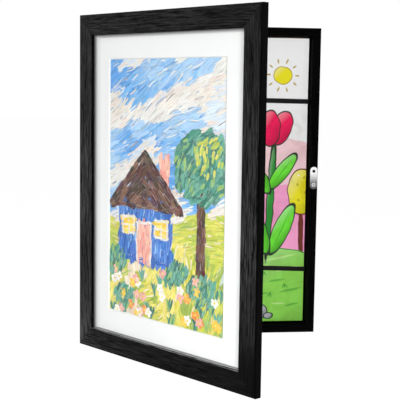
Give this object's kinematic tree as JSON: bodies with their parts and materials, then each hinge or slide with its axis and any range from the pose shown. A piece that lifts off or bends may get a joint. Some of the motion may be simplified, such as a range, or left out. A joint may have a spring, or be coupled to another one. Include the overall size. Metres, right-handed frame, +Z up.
{
  "type": "childrens art frame",
  "caption": "Front-opening wall frame: a hinged, glazed door with a mat and picture over a shallow box that stores drawings behind elastic bands.",
  "frame": {"origin": "on the wall plane, at the nail's seat in the middle notch of the portrait hanger, midway across the box", "axes": "+Z up, the front faces -Y, the wall is at +Y, and +X is to the right seen from the front"},
  "size_m": [0.2872, 0.2664, 0.389],
  "materials": {
    "black_moulding": "black wood-grain finish, satin",
    "black_box": "black wood-grain finish, satin",
    "zinc_steel": "zinc plated",
    "blackened_steel": "blackened",
    "clear_acrylic": "clear",
    "white_mat": "matt white, white core",
    "displayed_picture": "painted picture",
    "grey_backing": "matt",
    "brown_hardboard": "smooth hardboard",
    "drawing_paper": "matt",
    "stored_picture": "printed picture",
    "black_elastic": "woven elastic",
    "hinge_steel": "nickel plated",
    "polished_steel": "polished",
    "nickel_magnet": "nickel plated"
  },
  "bodies": {
    "box": {"box_top_wall": "black_box", "box_bottom_wall": "black_box", "box_left_wall": "black_box", "box_right_wall": "black_box", "box_v_nails": "zinc_steel", "back_panel_staples": "zinc_steel", "band_staples": "zinc_steel", "back_panel": "brown_hardboard", "stored_sheets": "drawing_paper", "stored_front_sheet": "stored_picture", "upper_elastic_band": "black_elastic", "lower_elastic_band": "black_elastic", "upper_hinge_box_leaf": "hinge_steel", "lower_hinge_box_leaf": "hinge_steel", "hinge_pins": "hinge_steel", "hinge_box_screws": "hinge_steel", "strike_plate": "polished_steel", "strike_screw": "polished_steel", "portrait_hanger": "zinc_steel", "landscape_hanger": "zinc_steel"},
    "door": {"door_top_rail": "black_moulding", "door_bottom_rail": "black_moulding", "door_hinge_stile": "black_moulding", "door_latch_stile": "black_moulding", "door_v_nails": "zinc_steel", "glazing": "clear_acrylic", "mat_board": "white_mat", "display_artwork": "displayed_picture", "backing_board": "grey_backing", "retaining_points": "blackened_steel", "upper_hinge_door_leaf": "hinge_steel", "lower_hinge_door_leaf": "hinge_steel", "hinge_door_screws": "hinge_steel", "catch_magnet": "nickel_magnet", "catch_magnet_cup": "zinc_steel"}
  },
  "joints": [
    {"name": "door_hinge", "type": "hinge", "parent": "box", "child": "door", "pos_m": [-0.1388, -0.0309, -0.1635], "axis": [0, 0, -1], "range_deg": [-54, 61]}
  ]
}
